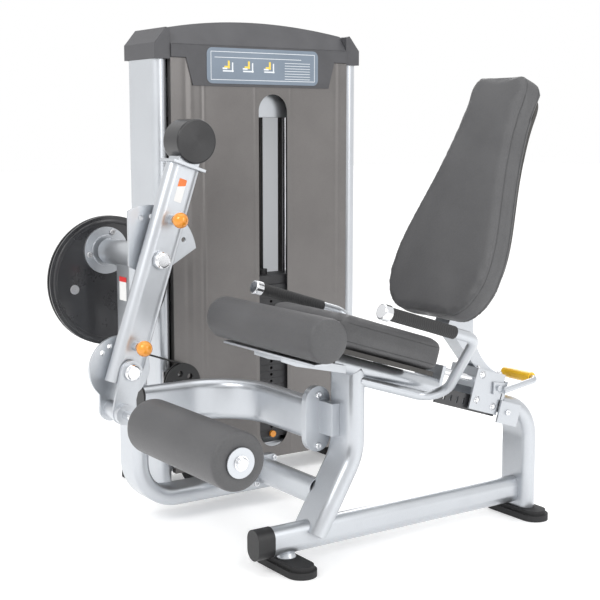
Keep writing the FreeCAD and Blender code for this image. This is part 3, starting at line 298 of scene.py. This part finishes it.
# Each fold in the shroud: its place along Y, its width, and its depth (negative goes inwards).
FOLDS = ((148, 9, -14), (166, 8, 9), (205, 5, -16), (214, 4, 10), (724, 6, -16), (736, 5, 10),
         (404, 5, 8), (541, 5, 8))


def flutes(tree):
    """Upright folds pressed into the sheet beside the weight stack: the sum of their humps."""
    across = coordinate(tree, "Y")
    total = 0.0
    for y, width, deep in FOLDS:
        hump = bump_at(tree, across, (y - ORIGIN[1]) / 1000, width / 1000)
        total = maths(tree, "ADD", total, maths(tree, "MULTIPLY", hump, float(deep)))
    return total


def vinyl_grain(tree):
    """Leather-like cells with creases between them."""
    place = node(tree, "ShaderNodeTexCoord").outputs["Object"]
    cells = node(tree, "ShaderNodeTexVoronoi", {"Vector": place, "Scale": 520.0},
                 feature="DISTANCE_TO_EDGE")
    return maths(tree, "MULTIPLY", cells.outputs["Distance"], 3.0, clamp=True)


def turned_rings(axis_y, axis_z, pitch):
    """Fine grooves round an axis along X, as a lathe leaves them."""
    def height(tree):
        """Half the sine of the distance from the axis, one turn of it every pitch."""
        y = maths(tree, "SUBTRACT", coordinate(tree, "Y"), axis_y)
        z = maths(tree, "SUBTRACT", coordinate(tree, "Z"), axis_z)
        square = maths(tree, "ADD", maths(tree, "MULTIPLY", y, y), maths(tree, "MULTIPLY", z, z))
        wave = maths(tree, "SINE", maths(tree, "MULTIPLY", maths(tree, "SQRT", square),
                                         2 * np.pi / pitch))
        return maths(tree, "MULTIPLY", wave, 0.5)
    return height


def grooves_along(axis, pitch, depth):
    """Even ribs across one coordinate."""
    def height(tree):
        """The sine of the coordinate, one turn of it every pitch, times depth."""
        wave = maths(tree, "SINE", maths(tree, "MULTIPLY", coordinate(tree, axis), 2 * np.pi / pitch))
        return maths(tree, "MULTIPLY", wave, depth)
    return height


centre_weight = at(lever_at(-406, 0, 342))
silver = finish("Silver paint", (0.6, 0.625, 0.655), (0.47, 0.49, 0.52), 0.85, 0.33, 0.1, 3.0, 1400.0,
                0.05, 0.0015, 0.35, 0.6)
shroud = finish("Taupe paint", (0.2, 0.19, 0.185), (0.135, 0.128, 0.125), 0.7, 0.36, 0.12, 3.0, 1200.0,
                0.12, 0.0015, 0.2, 0.6, flutes)
black_paint = finish("Black paint", (0.03, 0.03, 0.033), (0.018, 0.018, 0.02), 0.1, 0.28, 0.06, 8.0,
                     700.0, 0.05, 0.0015, 0.4)
turned = finish("Turned black paint", (0.018, 0.018, 0.02), (0.01, 0.01, 0.011), 0.05, 0.3, 0.06, 8.0,
                700.0, 0.2, 0.0015, 0.2, 0.2,
                turned_rings(centre_weight[1], centre_weight[2], 0.0042))
plastic = finish("Moulded grey plastic", (0.078, 0.078, 0.084), (0.052, 0.052, 0.057), 0.0, 0.48, 0.12,
                 9.0, 900.0, 0.35, 0.0025)
black_plastic = finish("Black plastic", (0.018, 0.018, 0.019), (0.011, 0.011, 0.012), 0.0, 0.42, 0.1,
                       12.0, 900.0, 0.25, 0.0012)
vinyl = finish("Grey vinyl", (0.088, 0.088, 0.091), (0.062, 0.062, 0.065), 0.0, 0.5, 0.12, 7.0, 260.0,
               0.3, 0.001, 0.05, 0.35, vinyl_grain)
rubber = finish("Black rubber", (0.022, 0.022, 0.023), (0.013, 0.013, 0.014), 0.0, 0.7, 0.12, 14.0,
                600.0, 0.4, 0.002)
grip_rubber = finish("Grip rubber", (0.02, 0.02, 0.021), (0.012, 0.012, 0.013), 0.0, 0.62, 0.12, 16.0,
                     800.0, 0.5, 0.0012, 0.0, 0.3, grooves_along("Y", 0.006, 0.8))
chrome = finish("Chrome", (0.82, 0.83, 0.85), (0.7, 0.71, 0.73), 1.0, 0.12, 0.08, 12.0, 300.0, 0.015,
                0.001)
zinc = finish("Zinc steel", (0.6, 0.6, 0.61), (0.42, 0.42, 0.43), 1.0, 0.34, 0.18, 20.0, 500.0, 0.08,
              0.001)
iron = finish("Painted iron", (0.05, 0.05, 0.053), (0.025, 0.025, 0.027), 0.2, 0.5, 0.16, 12.0, 500.0,
              0.3, 0.0015)
board = finish("Painted board", (0.06, 0.057, 0.054), (0.035, 0.033, 0.031), 0.0, 0.65, 0.16, 10.0,
               300.0, 0.3, 0.0015)
jacket = finish("Cable jacket", (0.022, 0.022, 0.023), (0.012, 0.012, 0.013), 0.0, 0.4, 0.1, 30.0,
                900.0, 0.2, 0.0005)
orange = finish("Orange plastic", (0.82, 0.33, 0.03), (0.66, 0.23, 0.015), 0.15, 0.22, 0.08, 20.0, 500.0,
                0.04, 0.001, 0.5)
yellow = finish("Yellow plastic", (1.0, 0.6, 0.012), (0.88, 0.47, 0.008), 0.0, 0.3, 0.1, 20.0, 500.0,
                0.08, 0.001, 0.4)
seam_thread = finish("Seam", (0.07, 0.07, 0.073), (0.04, 0.04, 0.042), 0.0, 0.55, 0.1, 60.0, 1500.0,
                     0.4, 0.0005)

BY_SLOT = {
    "silver_paint": silver, "shroud_paint": shroud, "black_paint": black_paint,
    "dark_plastic": plastic, "black_plastic": black_plastic, "vinyl": vinyl,
    "foot_rubber": rubber, "grip_rubber": grip_rubber, "steel_chrome": chrome,
    "zinc_steel": zinc, "iron": iron, "board": board, "cable_jacket": jacket,
    "orange_knob": orange, "yellow_grip": yellow,
}
# Two nodes look different from the rest of their slot.
OWN_FINISH = {"counterweight": turned, "base_end_cap": black_plastic}

for part in frame["record"]["subparts"]:
    slots = nodes[part["node"]].data.materials
    if not slots:
        slots.append(None)
    for index in range(len(slots)):
        slots[index] = OWN_FINISH.get(part["node"], BY_SLOT[part["material_slot"]])


def add(obj, material, body):
    """Gives a new piece its finish and its body."""
    obj.data.materials.clear()
    obj.data.materials.append(material)
    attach(obj, body)
    return obj


# ---- tower ----------------------------------------------------------------------------------
# A placard sits on the head of the tower. Its marks are blocks given by the distance of their
# middle from the placard's middle and by their half sizes, in metres.
PLACARD_MIDDLE = np.array([-777.0, 435.0, 1356.0])
FIGURES_Y = (-0.135, -0.06, 0.02)
FIGURE_PALE = ((0.0, -0.016, 0.02, 0.0022), (0.016, -0.004, 0.0024, 0.015),
               (-0.012, -0.008, 0.009, 0.0026))
FIGURE_WARM = ((0.002, 0.004, 0.0035, 0.012), (-0.006, -0.003, 0.008, 0.0028))
LINE_COUNT, LINE_PITCH, LINE_TOP = 7, 0.0085, 0.014


def placard_paint(tree, colour):
    """A slate field with a pale border, a pale rule, blank figures and plain lines."""
    y = coordinate(tree, "Y")
    z = coordinate(tree, "Z")
    mid_y, mid_z = at(PLACARD_MIDDLE)[1:]

    def band(value, centre, half):
        """1 where value is nearer to centre than half."""
        away = maths(tree, "ABSOLUTE", maths(tree, "SUBTRACT", value, centre))
        return maths(tree, "LESS_THAN", away, half)

    def block(cy, cz, hy, hz):
        """1 inside a rectangle."""
        return maths(tree, "MULTIPLY", band(y, mid_y + cy, hy), band(z, mid_z + cz, hz))

    inside = block(0, 0, 0.199, 0.0445)
    inner = block(0, 0, 0.1972, 0.0427)
    rim = maths(tree, "SUBTRACT", inside, inner)
    pale = maths(tree, "ADD", rim, block(-0.02, 0.026, 0.165, 0.0009), clamp=True)
    warm = 0.0
    for centre in FIGURES_Y:
        for dy, dz, hy, hz in FIGURE_PALE:
            pale = maths(tree, "ADD", pale, block(centre + dy, dz, hy, hz), clamp=True)
        for dy, dz, hy, hz in FIGURE_WARM:
            warm = maths(tree, "ADD", warm, block(centre + dy, dz, hy, hz), clamp=True)
    for row in range(LINE_COUNT):
        line = block(0.13, LINE_TOP - LINE_PITCH * row, 0.05, 0.0008)
        pale = maths(tree, "ADD", pale, line, clamp=True)
    mixed = node(tree, "ShaderNodeMix", {0: pale, 6: colour, 7: (0.72, 0.75, 0.78, 1)},
                 data_type="RGBA").outputs[2]
    return node(tree, "ShaderNodeMix", {0: warm, 6: mixed, 7: (0.85, 0.6, 0.08, 1)},
                data_type="RGBA").outputs[2]


placard_finish = finish("Placard", (0.19, 0.235, 0.29), (0.16, 0.2, 0.25), 0.0, 0.35, 0.06, 6.0, 600.0,
                        0.03, 0.0005, 0.2, 0.3, None, placard_paint)
sign = slab("placard", rounded_rectangle(426, 112, 20), PLACARD_MIDDLE, (0, 1, 0), (0, 0, 1), 1.6,
            0.4)
add(sign, placard_finish, "frame")

# A pale liner stands at the back of the tower, seen through the slot in front of the weights; its finish
# also glows a little, a painted glow that stands in for light inside the shaded tower.
liner_painted_glow_finish = finish("Pale liner painted glow", (0.7, 0.71, 0.72), (0.6, 0.61, 0.62), 0.0, 0.45, 0.08, 4.0, 500.0,
                      0.05, 0.0005)
liner_painted_glow_shader = liner_painted_glow_finish.node_tree.nodes["Principled BSDF"]
# The emission set here is painted light: the liner glows though no lamp lights it.
liner_painted_glow_shader.inputs["Emission Color"].default_value = (0.75, 0.77, 0.8, 1)
liner_painted_glow_shader.inputs["Emission Strength"].default_value = 0.45
liner = slab("rear_liner", rounded_rectangle(66, 1210, 4), np.array([-984.0, 590.0, 690.0]),
             (0, 1, 0), (0, 0, 1), 2.0, 0.5)
add(liner, liner_painted_glow_finish, "frame")

# A length of cable runs from the head of the stack up towards the pulleys.
head_z, cable_top = 692.3, 1259.9
CABLE_RADIUS = 3.0
lift_rows = np.linspace(head_z, cable_top, 12)
lifting = rod("lifting_cable", [(-850.0, 472.5, z) for z in lift_rows], CABLE_RADIUS)
add(lifting, jacket, "frame")
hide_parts("stack_cable")
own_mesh(lifting)

# A stub joins the base tube to its front foot.
stub = lathe("front_stub", [(26, 29.5), (26, 33), (23, 36), (23, 46)], np.array([0.0, 0.0, 0.0]),
             (0, 0, 1))
add(stub, silver, "frame")

# A dished screw sits in each moulded cap.
SCREW = [(0.1, -1), (7, -1), (7, 1.2), (5.4, 2.2), (3, 0.4), (0.1, 0.3)]
cap_screws = []
for y in (75, 790):
    cap_screws.append(lathe("screw", SCREW, np.array([-784.2, y, 1438.0]), (1, 0, 0), 24))
add(joined("cap_screws", cap_screws), black_plastic, "frame")

# ---- tube ends ------------------------------------------------------------------------------
# Moulded plugs close the open ends of the flat-oval tubes.
plugs = []
up_seat = np.array([0, np.sin(SEAT_FALL), np.cos(SEAT_FALL)])
plugs.append(slab("plug", stadium(120, 50), seat_at(0, 91.8, -38.5), (1, 0, 0), up_seat, 5))
plugs.append(slab("plug", stadium(120, 50), np.array([-565, 330.2, 70]), (-1, 0, 0), (0, 0, 1), 5))
plugs.append(slab("plug", stadium(120, 50), np.array([-479, -176.2, 370]), (0, 0, 1), (-1, 0, 0), 5))
add(joined("frame_plugs", plugs), black_plastic, "frame")
across_lever = np.array([0, np.cos(LEVER_LEAN), -np.sin(LEVER_LEAN)])
lever_plug = slab("lever_plug", stadium(99, 49), lever_at(-406, 0, -358.2), across_lever,
                  (-1, 0, 0), 5)
add(lever_plug, black_plastic, "lever")

# ---- pads and rollers -----------------------------------------------------------------------
# The padded pieces start from their plain solids, are drawn in a little, and are blown up as
# cloth so that their faces crown and their edges round off. Sewn seams follow.

def inflate(source, name, inset, cap, voxel=0.005, pressure=4.0):
    """Draws a remeshed copy in by inset along its normals, then swells it under pressure and
    smooths it, moving no point further than cap in the swelling."""
    work = bmesh.new()
    work.from_mesh(nodes[source].data)
    bmesh.ops.remove_doubles(work, verts=work.verts, dist=1e-5)
    work.normal_update()
    mesh = bpy.data.meshes.new(name)
    work.to_mesh(mesh)
    work.free()
    obj = bpy.data.objects.new(name, mesh)
    bpy.context.scene.collection.objects.link(obj)
    remesh = obj.modifiers.new("Remesh", "REMESH")
    remesh.mode = "VOXEL"
    remesh.voxel_size = voxel
    settle(obj)
    mesh = obj.data
    count = len(mesh.vertices)
    start = np.empty(count * 3)
    mesh.vertices.foreach_get("co", start)
    normals = np.empty(count * 3)
    mesh.vertex_normals.foreach_get("vector", normals)
    start = (start - normals * inset)
    mesh.vertices.foreach_set("co", start)
    mesh.update()
    cloth = obj.modifiers.new("Cloth", "CLOTH")
    cloth.settings.use_pressure = True
    cloth.settings.uniform_pressure_force = pressure
    cloth.settings.effector_weights.gravity = 0
    cloth.settings.quality = 5
    last_frame = 20
    cloth.point_cache.frame_start, cloth.point_cache.frame_end = 1, last_frame
    for step in range(1, last_frame + 1):
        bpy.context.scene.frame_set(step)
    depsgraph = bpy.context.evaluated_depsgraph_get()
    swollen = np.empty(count * 3)
    obj.evaluated_get(depsgraph).data.vertices.foreach_get("co", swollen)
    obj.modifiers.clear()
    move = (swollen - start).reshape(-1, 3)
    far = np.linalg.norm(move, axis=1)[:, None]
    move *= np.minimum(1.0, cap / np.maximum(far, 1e-9))
    obj.data.vertices.foreach_set("co", (start.reshape(-1, 3) + move).ravel())
    obj.data.update()
    relax = obj.modifiers.new("Smooth", "SMOOTH")
    relax.factor = 0.5
    relax.iterations = 10
    settle(obj)
    obj.data.polygons.foreach_set("use_smooth", [True] * len(obj.data.polygons))
    rounded = obj.modifiers.new("Rounded", "SUBSURF")
    rounded.levels = rounded.render_levels = 1
    bpy.context.scene.frame_set(1)
    return obj


def settle(obj):
    """Keeps what the modifiers make as the piece's own mesh."""
    depsgraph = bpy.context.evaluated_depsgraph_get()
    mesh = bpy.data.meshes.new_from_object(obj.evaluated_get(depsgraph))
    obj.modifiers.clear()
    obj.data = mesh


def seam_on(name, pad, loop, radius=1.3):
    """A sewn line: a thin cord along the pad's surface nearest to a loop of points."""
    tree = BVHTree.FromPolygons([v.co for v in pad.data.vertices],
                                [p.vertices for p in pad.data.polygons])
    snapped = [np.array(tree.find_nearest(Vector(p))[0]) for p in at(loop)]
    smooth = np.array(snapped)
    for _ in range(2):
        smooth = (np.roll(smooth, 1, 0) + 2 * smooth + np.roll(smooth, -1, 0)) / 4
    return rod(name, smooth * 1000 + ORIGIN, radius, closed=True, turns=8)


def resample(loop, count):
    """Points spaced evenly round a closed outline."""
    ring = np.vstack([loop, loop[:1]])
    run = np.concatenate([[0], np.cumsum(np.linalg.norm(np.diff(ring, axis=0), axis=1))])
    want = np.linspace(0, run[-1], count, endpoint=False)
    return np.stack([np.interp(want, run, ring[:, k]) for k in range(ring.shape[1])], 1)


seat = inflate("seat_pad", "seat_cushion", 0.003, 0.006)
add(seat, vinyl, "frame")
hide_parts("seat_pad")
flat = resample(rounded_rectangle(348, 350, 24), 160)
seams = []
for up in (16, 68):
    loop = np.array([seat_at(u, 177 + v, up) for u, v in flat])
    seams.append(seam_on("seam", seat, loop))
add(joined("seat_seams", seams), seam_thread, "frame")

BACK_ZERO = np.array([0, 446.8, 635.0])
BACK_SIDE = np.array([(112, 14), (172, 52), (203, 120), (206, 190), (186, 296), (148, 436),
                      (124, 560), (117, 650), (110, 716), (86, 740)], float)


def back_at(x, up, behind):
    """A point along the back pad's face from its lower edge, and behind the face."""
    c, s = np.cos(BACK_LEAN), np.sin(BACK_LEAN)
    return BACK_ZERO + np.array([x, behind * c + up * s, -behind * s + up * c])


back = inflate("back_pad", "back_cushion", 0.003, 0.006)
add(back, vinyl, "carriage")
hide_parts("back_pad")
half = resample(np.vstack([BACK_SIDE, BACK_SIDE[::-1] * (-1, 1)]), 240)
seams = []
for behind in (12, 62):
    seams.append(seam_on("seam", back, np.array([back_at(u, v, behind) for u, v in half])))
add(joined("back_seams", seams), seam_thread, "carriage")

for source, name, body in (("thigh_roller", "thigh_roll", "frame"),
                           ("shin_roller", "shin_roll", "shin_roller")):
    roll = inflate(source, name, 0.003, 0.005)
    add(roll, vinyl, body)
    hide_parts(source)

# ---- carriage bolts -------------------------------------------------------------------------
# Domed bolts hold the carriage's side plates and stand on its top.
DOME = [(0.1, 6.4), (3.4, 6.4), (4.2, 5.2), (6.6, 4.6), (8.2, 2.2), (8.4, 0.0), (11, 0.0), (11, -1.5)]
bolts = []
for back_along, up in ((622, 30), (622, -44), (690, -52)):
    bolts.append(lathe("bolt", DOME, seat_at(57.2, back_along, up), (1, 0, 0), 24))
    bolts.append(lathe("bolt", DOME, seat_at(-57.2, back_along, up), (-1, 0, 0), 24))
for across, back_along in ((-40, 612), (40, 612), (-40, 700), (40, 700)):
    bolts.append(lathe("bolt", DOME, seat_at(across, back_along, 47.2), up_seat, 24))
add(joined("carriage_bolts", bolts), chrome, "carriage")

# ---- lever side details ---------------------------------------------------------------------
# The cable lies in the cam's groove, a blank label sits on the column and one on the lever, and a
# raised rim runs round the near face of the cam.
CAM_Y, CAM_Z = -145.0, 707.0
CAM_GROOVE_X, CAM_FACE_X, CAM_CABLE_RING = -742.0, -731, 184
CAM_TURNS = 120
turn = np.linspace(0, 2 * np.pi, CAM_TURNS, endpoint=False)
ring = np.array([CAM_GROOVE_X, CAM_Y, CAM_Z]) + CAM_CABLE_RING * np.stack(
    [0 * turn, np.cos(turn), np.sin(turn)], 1)
add(rod("cam_cable", ring, CABLE_RADIUS, closed=True, turns=10), jacket, "cam")
LABEL_HEAD, STICKER_PATCH = 0.722, 1.0  # heights above which a label changes colour, in metres


def label_paint(tree, colour):
    """A red head over a white field."""
    z = coordinate(tree, "Z")
    top = maths(tree, "GREATER_THAN", z, LABEL_HEAD)
    return node(tree, "ShaderNodeMix", {0: top, 6: colour, 7: (0.6, 0.03, 0.03, 1)},
                data_type="RGBA").outputs[2]


label_finish = finish("Label", (0.8, 0.8, 0.79), (0.72, 0.72, 0.71), 0.0, 0.4, 0.06, 6.0, 500.0, 0.03,
                      0.0004, 0.0, 0.3, None, label_paint)
label = slab("column_label", np.array([[-22, -34], [22, -34], [22, 34], [-22, 34]], float),
             np.array([-565.0, -185.9, 702.0]), (1, 0, 0), (0, 0, 1), 0.5, 0.1)
add(label, label_finish, "frame")


def sticker_paint(tree, colour):
    """An orange patch at the head of a white field."""
    z = coordinate(tree, "Z")
    patch = maths(tree, "GREATER_THAN", z, STICKER_PATCH)
    return node(tree, "ShaderNodeMix", {0: patch, 6: colour, 7: (0.75, 0.18, 0.03, 1)},
                data_type="RGBA").outputs[2]


sticker_finish = finish("Sticker", (0.8, 0.8, 0.79), (0.72, 0.72, 0.71), 0.0, 0.35, 0.06, 6.0, 500.0,
                        0.03, 0.0004, 0.2, 0.3, None, sticker_paint)
up_lever = np.array([0, np.sin(LEVER_LEAN), np.cos(LEVER_LEAN)])
sticker = slab("lever_sticker", rounded_rectangle(24, 66, 3), lever_at(-380.95, 0, 200), across_lever,
               up_lever, 0.5, 0.1)
add(sticker, sticker_finish, "lever")

# Each row of the rim is a circle of one radius at one level above the cam's face.
rim_profile = [(184, -0.5), (184, 1.6), (182, 2.4), (173, 2.4), (171, 1.6), (171, -0.5)]
rim = []
for radius, level in rim_profile:
    rim.append(np.array([CAM_FACE_X, CAM_Y, CAM_Z]) + np.stack(
        [0 * turn + level, radius * np.cos(turn), radius * np.sin(turn)], 1))
add(made("cam_rim", at(np.vstack(rim)), grid_faces(len(rim_profile), CAM_TURNS, wrap_rows=True)),
    black_paint, "cam")

# ---- studio ---------------------------------------------------------------------------------
# A pale floor, soft lights and the camera.
floor_finish = finish("Studio floor", (0.95, 0.95, 0.95), (0.92, 0.92, 0.92), 0.0, 0.7, 0.05, 0.6, 60.0,
                      0.02, 0.0005)
floor_shader = floor_finish.node_tree.nodes["Principled BSDF"]
floor_shader.inputs["Emission Color"].default_value = (1, 1, 1, 1)
floor_shader.inputs["Emission Strength"].default_value = 0.22
bpy.ops.mesh.primitive_plane_add(size=60, location=(0, 0, 0))
floor = bpy.context.object
floor.name = "studio_floor"
floor.data.materials.append(floor_finish)


def softbox(name, place, target, width, height, power):
    """A rectangular soft light aimed at a point."""
    lamp = bpy.data.lights.new(name, "AREA")
    lamp.shape = "RECTANGLE"
    lamp.size, lamp.size_y, lamp.energy = width, height, power
    obj = bpy.data.objects.new(name, lamp)
    obj.location = place
    obj.rotation_mode = "QUATERNION"
    obj.rotation_quaternion = (Vector(target) - Vector(place)).to_track_quat("-Z", "Y")
    bpy.context.scene.collection.objects.link(obj)


# Name, place, target, width, height and power of each light, in metres and watts.
SOFTBOXES = (("key", (1.2, -3.4, 3.4), (0, 0, 0.7), 2.0, 1.6, 60),
             ("side", (3.6, 0.9, 2.2), (0, 0, 0.8), 1.4, 2.4, 34),
             ("top", (0.0, 0.0, 4.2), (0, 0, 0), 3.0, 3.0, 30),
             ("rim", (-2.6, 2.6, 2.6), (0, 0, 0.9), 1.6, 2.2, 30))
for light in SOFTBOXES:
    softbox(*light)
world = bpy.data.worlds.new("Studio")
bpy.context.scene.world = world
world.use_nodes = True
world.node_tree.nodes["Background"].inputs[0].default_value = (1, 1, 1, 1)
world.node_tree.nodes["Background"].inputs[1].default_value = 1.0
bpy.context.scene.view_settings.view_transform = "Standard"
bpy.context.scene.view_settings.look = "None"

AZIMUTH, PITCH = np.radians(55.6), np.radians(7.83)
EYE = (2619, -1749, 1152)
FOCAL_LENGTH, SENSOR_WIDTH = 73.8, 36
lens = bpy.data.cameras.new("camera")
lens.lens, lens.sensor_width = FOCAL_LENGTH, SENSOR_WIDTH
camera = bpy.data.objects.new("camera", lens)
camera.location = at(EYE)
ahead = Vector((-np.sin(AZIMUTH) * np.cos(PITCH), np.cos(AZIMUTH) * np.cos(PITCH), -np.sin(PITCH)))
camera.rotation_mode = "QUATERNION"
camera.rotation_quaternion = ahead.to_track_quat("-Z", "Y")
bpy.context.scene.collection.objects.link(camera)
bpy.context.scene.camera = camera
